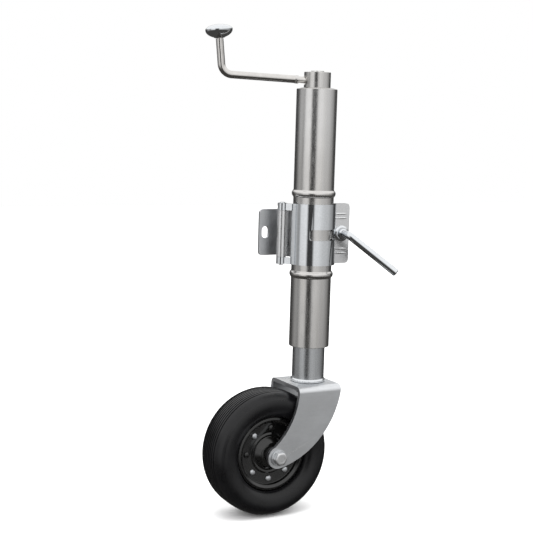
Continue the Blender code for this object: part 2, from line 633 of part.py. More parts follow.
def axle_parts(pivot):
    """Along AXLE_FRAME's Z, which is world +Y: the bolt's head is on the -Y side."""
    seat = FORK_HALF + GAP
    face = seat + WASHER_THICK + GAP
    bolt = add_object("axle_bolt", prism(hexagon(18 * MM), -face - 7.5 * MM, -face, AXLE_FRAME), "zinc", pivot)
    shank = cylinder(AXLE_R, -face - 1 * MM, face + 13 * MM, AXLE_FRAME, 24, 0.8 * MM)
    boolean(bolt, add_object("shank_guide", shank), "UNION")
    nut = add_object("axle_nut", prism(hexagon(18 * MM), face, face + 10 * MM, AXLE_FRAME), "zinc", pivot)
    boolean(nut, add_object("axle_nut_cutter", cylinder(AXLE_R + GAP, 40 * MM, 70 * MM, AXLE_FRAME)))
    spacer_low = HUB_TUBE_HALF + GAP
    spacer_high = FORK_HALF - PLATE_THICK - GAP
    for side, sign in (("near", -1), ("far", 1)):
        low, high = sorted((sign * seat, sign * (seat + WASHER_THICK)))
        washer = ring(AXLE_R + GAP, 12 * MM, low, high, AXLE_FRAME, 20)
        add_object("axle_washer_" + side, washer, "zinc", pivot)
        low, high = sorted((sign * spacer_low, sign * spacer_high))
        spacer = ring(AXLE_R + GAP, 10.5 * MM, low, high, AXLE_FRAME, 20)
        add_object("axle_spacer_" + side, spacer, "zinc", pivot)


# Wheel

def mirrored(half):
    """A half profile of (radius, height) points, outside edge first, made whole across height 0."""
    return half + [(r, -z) for r, z in reversed(half)]


def tyre(pivot):
    half = [(48.8, -16), (55.7, -19.6), (56.3, -24), (58.8, -28), (64.3, -32), (71.8, -34.6), (79.4, -34.8),
            (85.4, -32), (89.7, -27), (92.3, -20.5), (93.4, -12), (93.7, -4)]
    profile = mirrored([(r * MM, z * MM) for r, z in half])
    add_object("tyre", turned(profile, AXLE_FRAME, 40), "rubber", pivot)


def rivet_places():
    for i in range(RIVET_COUNT):
        angle = RIVET_START + math.tau * i / RIVET_COUNT
        yield AXLE + Vector((RIVET_CIRCLE_R * math.cos(angle), 0, RIVET_CIRCLE_R * math.sin(angle)))


def rivet_frame(place):
    return frame_along(place, Vector((0, 1, 0)))


def rim(side, sign, pivot):
    """Half of the pressed rim: lip, tyre seat, flat disc, raised ring and hub cone in one sheet."""
    section = [(48.5, 0.3), (48.5, 16.2), (51, 20.2), (54.6, 20.6), (55, 22.4), (51.2, 23.3), (47.6, 20.6),
               (46, 16.8), (30, 16.2), (28.4, 17.6), (25.4, 16.8), (18, 24.8), (13.3, 26.2), (13.3, 23.8),
               (16.8, 22.4), (24.6, 13.9), (46, 13.7), (46, 0.3)]
    profile = [(r * MM, sign * z * MM) for r, z in section]
    disc = add_object("rim_" + side, turned(profile, AXLE_FRAME, 28), "black_paint", pivot)
    holes = [cylinder(RIVET_R + GAP, 8 * sign * MM, 22 * sign * MM, rivet_frame(place), 8)
             for place in rivet_places()]
    boolean(disc, add_object("rivet_cutter_" + side, merge(*holes)))


def wheel_hub(pivot):
    tube = ring(HUB_TUBE_BORE_R, HUB_TUBE_R, -HUB_TUBE_HALF, HUB_TUBE_HALF, AXLE_FRAME, 28)
    add_object("wheel_hub_tube", tube, "black_paint", pivot)
    for side, sign in (("near", -1), ("far", 1)):
        low, high = sorted((sign * 9 * MM, sign * HUB_TUBE_HALF))
        bush = ring(AXLE_R + GAP, HUB_TUBE_BORE_R - GAP, low, high, AXLE_FRAME, 20)
        add_object("hub_bush_" + side, bush, "bronze", pivot)


def rim_rivets(pivot):
    """Each rivet crosses the wheel and has a round head outside either rim half."""
    face, head = 17.1 * MM, 19.5 * MM
    half = [(0, -head), (3 * MM, -head + 0.3 * MM), (4.6 * MM, -head + 1.4 * MM), (4.8 * MM, -face), (RIVET_R, -face)]
    for i, place in enumerate(rivet_places()):
        rivet = turned(mirrored(half), rivet_frame(place), 8, closed=False)
        add_object(f"rim_rivet_{i + 1}", rivet, "zinc" if i not in (1, 3, 7) else "black_paint", pivot)


def build():
    clear_scene()
    clamp = add_empty("clamp_base_origin", (0, 0, 0))
    jaw = add_empty("jaw_hinge_axis", (HINGE_X, HINGE_Y, 0))
    screw = add_empty("screw_axis", (SCREW_X, TUBE_Y, 0))
    mast = add_empty("mast_axis", above_ground(0, 0, 0))
    stem = add_empty("knob_axis", arm_corner())
    axle = add_empty("axle_axis", AXLE)

    clamp_base_plate(clamp)
    clamp_rear_jaw(clamp)
    clamp_weld_nut(clamp)
    clamp_hinge_pin(clamp)
    clamp_front_jaw(jaw)
    clamp_washer(screw)
    clamp_lever(screw)

    outer_tube(mast)
    top_cap(mast)
    guide_bush(mast)
    thrust_bearing_part("thrust_race_upper", mast)
    thrust_ball_cage(mast)
    thrust_bearing_part("thrust_race_lower", mast)
    spindle(mast)
    spindle_stop(mast)
    crank_hub(mast)
    hub_pieces(mast)
    crank_arm(mast)
    knob(stem)

    inner_tube(mast)
    spindle_nut(mast)
    swivel_parts(mast)
    fork(mast)
    axle_parts(axle)

    tyre(axle)
    rim("near", -1, axle)
    rim("far", 1, axle)
    wheel_hub(axle)
    rim_rivets(axle)


build()
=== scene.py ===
"""Looks of the trailer tongue jack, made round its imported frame.

Every shape is drawn in millimetres, in the frame's own axes, and scaled to metres when it becomes a piece.
"""
import json
import math

import bmesh
import bpy
from mathutils import Matrix, Vector


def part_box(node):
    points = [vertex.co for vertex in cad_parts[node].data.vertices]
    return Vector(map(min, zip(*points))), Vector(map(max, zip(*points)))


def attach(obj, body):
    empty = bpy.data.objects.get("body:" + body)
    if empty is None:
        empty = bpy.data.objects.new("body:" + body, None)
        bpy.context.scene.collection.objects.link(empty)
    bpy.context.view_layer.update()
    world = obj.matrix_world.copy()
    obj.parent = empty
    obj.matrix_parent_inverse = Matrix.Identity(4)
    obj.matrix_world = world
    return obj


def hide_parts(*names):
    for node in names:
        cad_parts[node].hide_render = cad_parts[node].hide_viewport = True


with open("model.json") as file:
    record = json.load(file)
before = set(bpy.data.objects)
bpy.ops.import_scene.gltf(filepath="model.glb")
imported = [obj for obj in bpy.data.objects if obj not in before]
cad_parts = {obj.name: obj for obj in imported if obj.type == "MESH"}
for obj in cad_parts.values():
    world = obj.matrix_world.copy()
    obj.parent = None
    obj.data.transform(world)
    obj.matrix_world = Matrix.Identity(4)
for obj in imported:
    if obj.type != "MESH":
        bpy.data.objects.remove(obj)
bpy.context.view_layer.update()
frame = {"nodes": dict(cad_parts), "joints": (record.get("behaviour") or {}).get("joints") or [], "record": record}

RECORD = frame["record"]
SLOT_OF = {part["node"]: part["material_slot"] for part in RECORD["subparts"]}
BODY_OF = {node: body for body, nodes in RECORD["behaviour"]["bodies"].items() for node in nodes}
JOINTS = {joint["name"]: joint for joint in frame["joints"]}


# Places, read from the frame

def box(node):
    low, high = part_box(node)
    return low * 1000, high * 1000


def heights(node):
    low, high = box(node)
    return low.z, high.z


def pivot(joint):
    return Vector(JOINTS[joint]["pos_m"]) * 1000


def axis(joint):
    return Vector(JOINTS[joint]["axis"]).normalized()


def frame_along(place, direction):
    """A frame at place whose Z runs along direction."""
    turn = Vector((0, 0, 1)).rotation_difference(direction)
    return Matrix.Translation(place) @ turn.to_matrix().to_4x4()


UP = Vector((0, 0, 1))
MAST_X, MAST_Y = pivot("crank_turn").xy
MAST = Matrix.Translation((MAST_X, MAST_Y, 0))
AXLE = frame_along(pivot("wheel_spin"), axis("wheel_spin"))
SCREW = frame_along(pivot("screw_turn"), axis("screw_turn"))
HINGE = Matrix.Translation((*pivot("jaw_swing").xy, 0))
ARM_CORNER = pivot("knob_spin")
STEM = axis("knob_spin")
STEM_FRAME = frame_along(ARM_CORNER, STEM)
ARM_RISE = math.radians(2.1)
ARM_OUT = Vector((ARM_CORNER.x - MAST_X, ARM_CORNER.y - MAST_Y, 0))
ARM_LENGTH = ARM_OUT.length / math.cos(ARM_RISE)
ARM = ARM_OUT.normalized() * math.cos(ARM_RISE) + UP * math.sin(ARM_RISE)
ARM_FRAME = frame_along(ARM_CORNER - ARM * ARM_LENGTH, ARM)
GROUND = heights("tyre")[0]

# Drawing planes: an outline seen from the front (Z towards -Y), from the side (Z towards +X) and from above
FROM_FRONT = Matrix(((1, 0, 0, 0), (0, 0, -1, 0), (0, 1, 0, 0), (0, 0, 0, 1)))
FROM_SIDE = Matrix(((0, 0, 1, 0), (1, 0, 0, 0), (0, 1, 0, 0), (0, 0, 0, 1)))
FROM_ABOVE = Matrix.Identity(4)

# Sizes, in millimetres
TUBE_R = 30
TUBE_BORE_R = 27
BEADS_ABOVE_BOTTOM = (108.8, 228.4)
BEAD_HALF = 5
BEAD_RISE = 2.5
HUB_R = 19.6
KNOB_R = 19.7
ARM_R = 5.5
ARM_NECK_R = 4.9
ARM_BEND_R = 16
INNER_R = 24.15
INNER_BORE_R = 21.15
SLIDE_R = 26.65                  # the bush and ring between the two tubes
KINGPIN_R = 13
KINGPIN_BORE_R = 13.3
FORK_HALF = 44
FORK_THICK = 6
FORK_BEND_R = 9
AXLE_R = 6
AXLE_BORE_R = 6.3
AXLE_PITCH = 1.75
SPINDLE_R = 8
SPINDLE_PITCH = 4
GAP = 0.3                        # between pieces that move on each other
SCREW_R = 5
SCREW_PITCH = 1.75
LEVER_R = 5.75
LEVER_DROP = math.radians(41.5)
LEVER_OUT = math.radians(25)
HINGE_KNUCKLE_R = 7
HINGE_BORE_R = 4.3
BOLT_SLOT = (11.5, 18)
BOLT_SLOT_X = 61
CLAMP_THICK = 4
HUB_TUBE_HALF = 30
PARTING = 3                      # from each jaw to the plane through the mast's axis
SADDLE_R = 30.35
JAW_HALF = 45
BASE_HALF = 34.5


# Shapes

def arc(centre, radius, start, end, steps):
    """Points on a circle, angles in degrees."""
    angles = [math.radians(start + (end - start) * i / steps) for i in range(steps + 1)]
    return [(centre[0] + radius * math.cos(a), centre[1] + radius * math.sin(a)) for a in angles]


def arc_through(first, middle, last, steps):
    """Points on the circle through three points."""
    (ax, ay), (bx, by), (cx, cy) = first, middle, last
    d = 2 * (ax * (by - cy) + bx * (cy - ay) + cx * (ay - by))
    a2, b2, c2 = ax * ax + ay * ay, bx * bx + by * by, cx * cx + cy * cy
    ux = (a2 * (by - cy) + b2 * (cy - ay) + c2 * (ay - by)) / d
    uy = (a2 * (cx - bx) + b2 * (ax - cx) + c2 * (bx - ax)) / d
    radius = math.hypot(ax - ux, ay - uy)
    start = math.degrees(math.atan2(ay - uy, ax - ux))
    sweep = (math.degrees(math.atan2(cy - uy, cx - ux)) - start + 180) % 360 - 180
    return arc((ux, uy), radius, start, start + sweep, steps)


def rounded(points, steps=4):
    """An outline of (x, y) or (x, y, radius) points, with its marked corners rounded."""
    out = []
    for i, point in enumerate(points):
        here = Vector(point[:2])
        if len(point) == 2:
            out.append(tuple(here))
            continue
        back = Vector(points[i - 1][:2]) - here
        on = Vector(points[(i + 1) % len(points)][:2]) - here
        reach = min(point[2] / math.tan(back.angle(on) / 2), 0.49 * back.length, 0.49 * on.length)
        start, end = here + back.normalized() * reach, here + on.normalized() * reach
        for k in range(steps + 1):
            s = k / steps
            out.append(tuple(start * (1 - s) ** 2 + here * 2 * s * (1 - s) + end * s * s))
    return out


def rounded_box(x0, y0, x1, y1, radius, steps=6):
    return rounded([(x0, y0, radius), (x1, y0, radius), (x1, y1, radius), (x0, y1, radius)], steps)


def stadium(x, y, width, height, steps=12):
    """An upright slot's outline."""
    half, rise = width / 2, (height - width) / 2
    return arc((x, y + rise), half, 0, 180, steps) + arc((x, y - rise), half, 180, 360, steps)


def smooth(points, steps=5):
    """A Catmull-Rom curve through the points."""
    points = [Vector(p) for p in points]
    padded = [points[0] * 2 - points[1]] + points + [points[-1] * 2 - points[-2]]
    out = []
    for a, b, c, d in zip(padded, padded[1:], padded[2:], padded[3:]):
        for k in range(steps):
            t = k / steps
            out.append(tuple(0.5 * (2 * b + (c - a) * t + (2 * a - 5 * b + 4 * c - d) * t * t
                                    + (3 * b - a - 3 * c + d) * t ** 3)))
    return out + [tuple(points[-1])]


def hexagon(across_flats):
    return arc((0, 0), across_flats / 2 / math.cos(math.radians(30)), 0, 300, 5)


def turned(profile, place, segments=128, closed=True):
    """Spin (radius, height) points round the frame's Z. An open profile starts and ends on the axis."""
    bm = bmesh.new()
    verts = [bm.verts.new((r, 0, z)) for r, z in profile]
    pairs = list(zip(verts, verts[1:]))
    if closed:
        pairs.append((verts[-1], verts[0]))
    edges = [bm.edges.new(pair) for pair in pairs]
    bmesh.ops.spin(bm, geom=verts + edges, cent=(0, 0, 0), axis=(0, 0, 1), angle=math.tau,
                   steps=segments, use_merge=True)
    bmesh.ops.remove_doubles(bm, verts=bm.verts, dist=1e-4)
    bmesh.ops.recalc_face_normals(bm, faces=bm.faces)
    bmesh.ops.transform(bm, matrix=place, verts=bm.verts)
    return bm


def ring(inner, outer, low, high, place, edge=0.4, segments=96):
    """A washer, bush or collar with its edges rounded."""
    profile = [(inner, low, edge / 2), (outer, low, edge), (outer, high, edge), (inner, high, edge / 2)]
    return turned(rounded(profile, 3), place, segments)


def rod(radius, low, high, place, edge=0.0, segments=64):
    """A plain round bar, with rounded ends where edge is given."""
    side = [(radius, low, edge), (radius, high, edge)] if edge else [(radius, low), (radius, high)]
    return turned(rounded([(0, low)] + side + [(0, high)], 3), place, segments, closed=False)


def prism(outline, low, high, place):
    """Extrude an outline in the frame's XY plane from low to high."""
    bm = bmesh.new()
    face = bm.faces.new([bm.verts.new((x, y, low)) for x, y in outline])
    grown = bmesh.ops.extrude_face_region(bm, geom=[face])
    top = [v for v in grown["geom"] if isinstance(v, bmesh.types.BMVert)]
    bmesh.ops.translate(bm, verts=top, vec=(0, 0, high - low))
    bmesh.ops.recalc_face_normals(bm, faces=bm.faces)
    bmesh.ops.transform(bm, matrix=place, verts=bm.verts)
    return bm


def swept(stations, sides=40):
    """A round bar through stations of (point, radius), with flat ends."""
    bm = bmesh.new()
    rings = []
    normal = None
    for i, (point, radius) in enumerate(stations):
        along = (stations[min(i + 1, len(stations) - 1)][0] - stations[max(i - 1, 0)][0]).normalized()
        if normal is None:
            normal = along.orthogonal()
        normal = (normal - along * normal.dot(along)).normalized()
        across = along.cross(normal)
        rings.append([bm.verts.new(point + radius * (math.cos(t) * normal + math.sin(t) * across))
                      for t in (math.tau * k / sides for k in range(sides))])
    for low, high in zip(rings, rings[1:]):
        for k in range(sides):
            bm.faces.new((low[k], low[(k + 1) % sides], high[(k + 1) % sides], high[k]))
    bm.faces.new(rings[0])
    bm.faces.new(rings[-1])
    bmesh.ops.recalc_face_normals(bm, faces=bm.faces)
    return bm


def bend(corner, into, out, radius, steps=20):
    """Points round a bend of the given radius between two straight directions."""
    turn = math.acos(into.dot(out))
    start = corner - into * radius * math.tan(turn / 2)
    side = (out - into * into.dot(out)).normalized()
    return [start + radius * (into * math.sin(a) + side * (1 - math.cos(a)))
            for a in (turn * i / steps for i in range(steps + 1))]


def threads(low, high, crest, root, pitch):
    """A turned thread's profile: flat crests and roots between 30 degree flanks."""
    points = []
    for i in range(int((high - low) / pitch)):
        z = low + i * pitch
        points += [(root, z), (crest, z + 0.25 * pitch), (crest, z + 0.45 * pitch), (root, z + 0.7 * pitch)]
    return points


# From a bmesh to a piece

def as_object(name, bm):
    mesh = bpy.data.meshes.new(name)
    bm.to_mesh(mesh)
    bm.free()
    obj = bpy.data.objects.new(name, mesh)
    bpy.context.scene.collection.objects.link(obj)
    return obj


def apply_modifiers(obj):
    graph = bpy.context.evaluated_depsgraph_get()
    made = bpy.data.meshes.new_from_object(obj.evaluated_get(graph))
    obj.modifiers.clear()
    old, obj.data = obj.data, made
    bpy.data.meshes.remove(old)


def combined(bm, *steps):
    """Join, cut or keep the overlap with other meshes, in turn. Each step is (operation, bmesh)."""
    target = as_object("target", bm)
    for operation, other in steps:
        operand = as_object("operand", other)
        modifier = target.modifiers.new("combine", "BOOLEAN")
        modifier.operation = operation
        modifier.object = operand
        apply_modifiers(target)
        bpy.data.objects.remove(operand)
    out = bmesh.new()
    out.from_mesh(target.data)
    bpy.data.objects.remove(target)
    return out


def finish(node, bm, bevel=0.0, sharp=40, limit=35, segments=3):
    """Make the piece that stands for a CAD node: soften its edges, scale it, finish it and let it ride."""
    if bevel:
        bmesh.ops.dissolve_limit(bm, angle_limit=math.radians(0.8), verts=bm.verts, edges=bm.edges)
    obj = as_object(node + "_finished", bm)
    if bevel:
        modifier = obj.modifiers.new("edges", "BEVEL")
        modifier.width = bevel
        modifier.segments = segments
        modifier.limit_method = "ANGLE"
        modifier.angle_limit = math.radians(limit)
        apply_modifiers(obj)
    obj.data.transform(Matrix.Scale(0.001, 4))
    obj.data.shade_smooth()
    obj.data.set_sharp_from_angle(angle=math.radians(sharp))
    weighted = obj.modifiers.new("normals", "WEIGHTED_NORMAL")
    weighted.keep_sharp = True
    apply_modifiers(obj)
    obj.data.materials.clear()
    obj.data.materials.append(FINISHES[SLOT_OF[node]])
    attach(obj, BODY_OF[node])
    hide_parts(node)
    return obj


def chamfered_hex(across_flats, low, high, place, low_edge=True, high_edge=True, face=0.96):
    """A nut or bolt head: a hexagon whose corners are turned off at 30 degrees."""
    flat, corner = face * across_flats / 2, 1.02 * across_flats / math.sqrt(3)
    drop = (corner - flat) * math.tan(math.radians(30))
    cone = [(0, low), (flat if low_edge else corner, low), (corner, low + (drop if low_edge else 0.01)),
            (corner, high - (drop if high_edge else 0.01)), (flat if high_edge else corner, high), (0, high)]
    return combined(prism(hexagon(across_flats), low, high, place),
                    ("INTERSECT", turned(cone, place, 96, closed=False)))


# Materials

def add_node(tree, kind, inputs, settings):
    """Add a shader node, set its properties, and set or link its inputs."""
    made = tree.nodes.new(kind)
    for key, value in settings.items():
        setattr(made, key, value)
    for key, value in dict(inputs).items():
        if isinstance(value, bpy.types.NodeSocket):
            tree.links.new(value, made.inputs[key])
        else:
            made.inputs[key].default_value = value
    return made


def set_stops(ramp, stops):
    """Give a colour ramp its stops, each (position, colour)."""
    while len(ramp.elements) < len(stops):
        ramp.elements.new(0.5)
    for element, (position, colour) in zip(ramp.elements, stops):
        element.position = position
        element.color = (*colour, 1.0)


class Finish:
    """A Principled material in the making. Its textures lie in object space, so they move with the piece."""

    def __init__(self, name, metallic, **constants):
        self.material = bpy.data.materials.new(name)
        self.material.use_nodes = True
        self.tree = self.material.node_tree
        self.shader = self.tree.nodes["Principled BSDF"]
        self.shader.inputs["Metallic"].default_value = metallic
        for socket, value in constants.items():
            self.shader.inputs[socket.replace("_", " ")].default_value = value
        self.coords = self.tree.nodes.new("ShaderNodeTexCoord").outputs["Object"]

    def node(self, kind, inputs=(), **settings):
        return add_node(self.tree, kind, inputs, settings)

    def noise(self, size, detail=2.0, stretch=(1, 1, 1), turn=(0, 0, 0), rough=0.5):
        """Noise whose blots are about size millimetres wide; stretch below 1 makes them longer."""
        place = self.node("ShaderNodeMapping", {"Vector": self.coords, "Rotation": turn, "Scale": stretch})
        made = self.node("ShaderNodeTexNoise", {"Vector": place.outputs["Vector"], "Scale": 1000 / size,
                                                "Detail": detail, "Roughness": rough})
        return made.outputs["Fac"]

    def ramp(self, factor, *stops):
        made = self.node("ShaderNodeValToRGB", {"Fac": factor})
        set_stops(made.color_ramp, stops)
        return made.outputs["Color"]

    def range(self, value, low, high, start=0.3, end=0.7):
        made = self.node("ShaderNodeMapRange", {"Value": value, "From Min": start, "From Max": end,
                                                "To Min": low, "To Max": high})
        return made.outputs["Result"]

    def mix(self, factor, a, b, blend="MIX"):
        made = self.node("ShaderNodeMix", {0: factor, 6: a, 7: b}, data_type="RGBA", blend_type=blend)
        return made.outputs[2]

    def math(self, operation, a, b):
        return self.node("ShaderNodeMath", {0: a, 1: b}, operation=operation).outputs[0]

    def edge_wear_and_highlight(self):
        """One along sharp convex edges and nought elsewhere: the mask for edges painted lighter, partly as wear
        and partly as a painted highlight.
        """
        point = self.node("ShaderNodeNewGeometry").outputs["Pointiness"]
        return self.range(point, 0, 1, 0.515, 0.56)

    def bump(self, *layers):
        """Stack bump layers of (height, depth in millimetres)."""
        normal = None
        for height, depth in layers:
            inputs = {"Height": height, "Distance": depth / 1000, "Strength": 1.0}
            if normal:
                inputs["Normal"] = normal
            normal = self.node("ShaderNodeBump", inputs).outputs["Normal"]
        self.tree.links.new(normal, self.shader.inputs["Normal"])

    def done(self, colour, roughness):
        self.tree.links.new(colour, self.shader.inputs["Base Color"])
        self.tree.links.new(roughness, self.shader.inputs["Roughness"])
        return self.material


def grey(value, tint=(1, 1, 1)):
    return tuple(value * t for t in tint)


def stainless():
    """Lengthwise brushing over a warm grey, with slow blotches and a few long scratches."""
    f = Finish("brushed_stainless", 1.0)
    warm = (1.0, 0.975, 0.945)
    grain = f.noise(0.7, 3, (1, 1, 0.012))
    bands = f.noise(6, 1, (1, 1, 0.03))
    blots = f.noise(35, 3)
    scratches = f.ramp(f.noise(0.35, 0, (1, 1, 0.02)), (0.70, (0, 0, 0)), (0.76, (1, 1, 1)))
    colour = f.ramp(grain, (0.30, grey(0.555, warm)), (0.70, grey(0.675, warm)))
    colour = f.mix(f.range(bands, 0, 0.5), colour, (*grey(0.64, (1, 1, 1)), 1))
    colour = f.mix(f.range(blots, 0, 0.18), colour, (*grey(0.50, warm), 1))
    # convex edges painted lighter: partly wear, partly a painted highlight along the bevels
    colour = f.mix(f.math("MULTIPLY", f.edge_wear_and_highlight(), 0.5), colour, (*grey(0.80), 1))
    rough = f.math("ADD", f.range(grain, 0.17, 0.27), f.math("MULTIPLY", scratches, 0.10))
    rough = f.math("ADD", rough, f.range(blots, -0.02, 0.04))
    f.bump((grain, 0.006), (scratches, 0.01))
    return f.done(colour, rough)


def drawn_rod():
    """Bright drawn stainless rod: smooth, with a faint cloudiness and handling marks."""
    f = Finish("drawn_stainless_rod", 1.0)
    warm = (1.0, 0.975, 0.945)
    cloud = f.noise(9, 3)
    fine = f.noise(1.1, 2)
    marks = f.ramp(f.noise(2.5, 5, rough=0.7), (0.62, (0, 0, 0)), (0.75, (1, 1, 1)))
    colour = f.ramp(cloud, (0.3, grey(0.58, warm)), (0.7, grey(0.66, warm)))
    colour = f.mix(f.math("MULTIPLY", marks, 0.15), colour, (*grey(0.46, warm), 1))
    rough = f.math("ADD", f.range(cloud, 0.13, 0.19), f.math("MULTIPLY", marks, 0.08))
    f.bump((fine, 0.0015), (cloud, 0.01))
    return f.done(colour, rough)


def polished():
    """Bright polished steel: faint polishing swirls, dulled patches and hairline scratches."""
    f = Finish("polished_steel", 1.0)
    cool = (0.95, 0.98, 1.01)
    swirl = f.noise(2.2, 4, (1, 0.3, 1), (0.4, 0.9, 0.2))
    blots = f.noise(14, 3)
    hair = f.ramp(f.noise(0.4, 0, (0.05, 1, 1), (0.3, 0.5, 1.1)), (0.69, (0, 0, 0)), (0.74, (1, 1, 1)))
    colour = f.ramp(swirl, (0.30, grey(0.68, cool)), (0.70, grey(0.76, cool)))
    colour = f.mix(f.range(blots, 0, 0.25), colour, (*grey(0.62, (0.98, 0.99, 1)), 1))
    rough = f.math("ADD", f.range(swirl, 0.05, 0.10), f.math("MULTIPLY", hair, 0.10))
    rough = f.math("ADD", rough, f.range(blots, 0, 0.04))
    f.bump((swirl, 0.002), (hair, 0.005))
    return f.done(colour, rough)


def zinc():
    """Satin zinc plating over rolled sheet: cool grey, cloudy, with a fine sparkle and edges painted brighter,
    partly as wear and partly as a painted highlight.
    """
    f = Finish("zinc_plating", 1.0)
    cool = (0.955, 0.985, 1.02)
    cloud = f.noise(22, 5, rough=0.6)
    speckle = f.noise(0.9, 3, rough=0.7)
    rolled = f.noise(3.5, 2, (0.25, 1, 1))
    colour = f.ramp(cloud, (0.32, grey(0.52, cool)), (0.68, grey(0.62, cool)))
    colour = f.mix(f.range(speckle, 0, 0.65), colour, (*grey(0.76, cool), 1))
    colour = f.mix(f.range(rolled, 0, 0.25), colour, (*grey(0.46, cool), 1))
    # convex edges painted near white: partly wear, partly a painted highlight along the bevels
    colour = f.mix(f.math("MULTIPLY", f.edge_wear_and_highlight(), 0.7), colour, (*grey(0.86), 1))
    rough = f.math("ADD", f.range(cloud, 0.34, 0.44), f.range(speckle, -0.04, 0.06))
    rough = f.math("SUBTRACT", rough, f.math("MULTIPLY", f.edge_wear_and_highlight(), 0.10))
    f.bump((speckle, 0.035), (cloud, 0.05), (rolled, 0.012))
    return f.done(colour, rough)


def zinc_tube():
    """Drawn tube, zinc plated: cool grey with upright draw lines and a fine mottle."""
    f = Finish("zinc_plated_tube", 1.0)
    cool = (0.96, 0.985, 1.01)
    lines = f.noise(0.9, 3, (1, 1, 0.02))
    mottle = f.noise(1.6, 4, rough=0.65)
    blots = f.noise(18, 3)
    colour = f.ramp(lines, (0.30, grey(0.50, cool)), (0.70, grey(0.62, cool)))
    colour = f.mix(f.range(mottle, 0, 0.45), colour, (*grey(0.44, cool), 1))
    colour = f.mix(f.range(blots, 0, 0.25), colour, (*grey(0.60, cool), 1))
    rough = f.math("ADD", f.range(mottle, 0.24, 0.34), f.range(lines, -0.03, 0.04))
    f.bump((lines, 0.006), (mottle, 0.012))
    return f.done(colour, rough)


def enamel():
    """Gloss black stoving enamel with a slight orange peel and blotches of dust."""
    f = Finish("black_enamel", 0.0, Specular_IOR_Level=0.35, Coat_Weight=0.5, Coat_Roughness=0.05)
    peel = f.noise(2.4, 2)
    dust = f.noise(9, 5, rough=0.65)
    specks = f.noise(0.7, 1)
    colour = f.ramp(dust, (0.35, grey(0.003)), (0.75, grey(0.008, (1, 0.98, 0.95))))
    # convex edges painted lighter: partly wear, partly a painted highlight along the bevels
    colour = f.mix(f.math("MULTIPLY", f.edge_wear_and_highlight(), 0.25), colour, (0.03, 0.03, 0.032, 1))
    rough = f.math("ADD", f.range(dust, 0.10, 0.17), f.range(specks, -0.02, 0.03))
    f.bump((peel, 0.012), (specks, 0.002))
    return f.done(colour, rough)


def rubber():
    """Satin black rubber: a fine moulded grain, grey bloom and scuffs."""
    f = Finish("tyre_rubber", 0.0, Specular_IOR_Level=0.33)
    grain = f.noise(0.55, 3, rough=0.7)
    bloom = f.noise(26, 4, rough=0.6)
    scuff = f.noise(5, 5, (1, 0.35, 1), rough=0.7)
    colour = f.ramp(bloom, (0.30, (0.0025, 0.0025, 0.003)), (0.72, (0.0050, 0.0050, 0.006)))
    colour = f.mix(f.range(scuff, 0, 0.3, 0.5, 0.8), colour, (0.009, 0.0088, 0.0085, 1))
    rough = f.math("ADD", f.range(bloom, 0.26, 0.34), f.range(grain, -0.03, 0.04))
    f.bump((grain, 0.02), (bloom, 0.06))
    return f.done(colour, rough)


def bronze():
    """Turned bronze with fine tool lines and tarnished patches."""
    f = Finish("turned_bronze", 1.0)
    lines = f.noise(0.6, 2, (1, 1, 6))
    blots = f.noise(8, 4)
    colour = f.ramp(blots, (0.3, (0.46, 0.29, 0.12)), (0.7, (0.60, 0.40, 0.18)))
    rough = f.range(lines, 0.26, 0.40)
    f.bump((lines, 0.01), (blots, 0.01))
    return f.done(colour, rough)


def nylon():
    """Natural nylon: off-white, slightly see-through and mottled."""
    f = Finish("natural_nylon", 0.0, Subsurface_Weight=0.15, Subsurface_Scale=0.002)
    grain = f.noise(0.8, 3)
    blots = f.noise(12, 3)
    colour = f.ramp(blots, (0.3, (0.66, 0.65, 0.60)), (0.7, (0.78, 0.77, 0.73)))
    rough = f.range(grain, 0.38, 0.52)
    f.bump((grain, 0.015), (blots, 0.03))
    return f.done(colour, rough)


FINISHES = {"stainless": stainless(), "polished_steel": polished(), "zinc_plate": zinc(),
            "zinc_tube": zinc_tube(), "black_paint": enamel(), "rubber": rubber(), "bronze": bronze(),
            "nylon": nylon()}


def repaint(obj, material):
    obj.data.materials.clear()
    obj.data.materials.append(material)


# Mast

def make_tube():
    """The outer tube with its two rolled beads."""
    low, high = heights("outer_tube")
    bulge_r = (BEAD_HALF ** 2 + BEAD_RISE ** 2) / (2 * BEAD_RISE)
    reach = math.degrees(math.asin(BEAD_HALF / bulge_r))
    profile = [(TUBE_BORE_R, low, 0.3), (TUBE_R, low, 0.7)]
    for above in BEADS_ABOVE_BOTTOM:
        centre = (TUBE_R + BEAD_RISE - bulge_r, low + above)
        profile += [(TUBE_R, low + above - BEAD_HALF - 0.8)]
        profile += arc(centre, bulge_r, -reach + 6, reach - 6, 14)
        profile += [(TUBE_R, low + above + BEAD_HALF + 0.8)]
    profile += [(TUBE_R, high), (TUBE_BORE_R, high)]
    finish("outer_tube", turned(rounded(profile), MAST, 160))


def make_cap():
    """A plug in the tube's top, with a cone round the well that the hub turns in."""
    low, high = heights("top_cap")
    seat = heights("outer_tube")[1]
    spigot = TUBE_BORE_R - 0.4
    well = heights("crank_hub")[0] - GAP
    profile = [(9, low), (spigot, low), (spigot, seat + 0.05), (TUBE_R - 0.1, seat + 0.05),
               (TUBE_R - 0.1, seat + 1.1, 0.8), (HUB_R + 1.5, high, 0.5), (HUB_R + 0.7, high - 0.5),
               (HUB_R + 0.7, well), (9, well)]
    finish("top_cap", turned(rounded(profile), MAST, 160))


